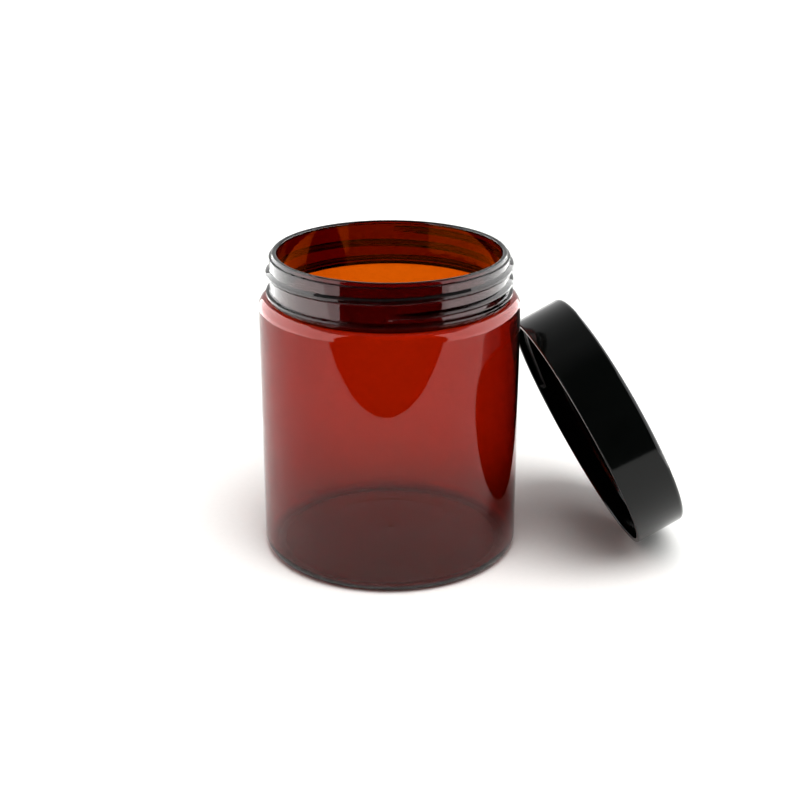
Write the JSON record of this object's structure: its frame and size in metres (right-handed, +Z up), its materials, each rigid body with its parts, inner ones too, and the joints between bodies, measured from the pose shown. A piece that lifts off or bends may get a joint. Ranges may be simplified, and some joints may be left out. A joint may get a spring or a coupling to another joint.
{
  "type": "cosmetic jar with screw lid",
  "caption": "Straight-sided translucent amber jar standing open, its smooth black screw lid leaning against the side.",
  "frame": {"origin": "middle of the jar's base, on the surface that the jar stands on", "axes": "+Z up along the jar's axis through the open mouth; +X towards the side on which the lid leans"},
  "size_m": [0.12, 0.0761, 0.0876],
  "materials": {
    "amber_pet": "clear amber, blow-moulded gloss",
    "black_polypropylene": "smooth injection-moulded gloss",
    "foam_liner": "black closed-cell foam"
  },
  "bodies": {
    "jar": {"jar": "amber_pet"},
    "liner": {"liner": "foam_liner"},
    "lid": {"lid": "black_polypropylene"}
  },
  "joints": [
    {"name": "lid_lift", "type": "slide", "parent": "jar", "child": "liner", "axis": [0.8754, 0.1861, 0.4462], "range_m": [0, 0.12]},
    {"name": "lid_turn", "type": "hinge", "parent": "liner", "child": "lid", "pos_m": [0.06479, 0.00393, 0.0382], "axis": [0.8754, 0.1861, 0.4462], "range_deg": [0, 450]}
  ]
}
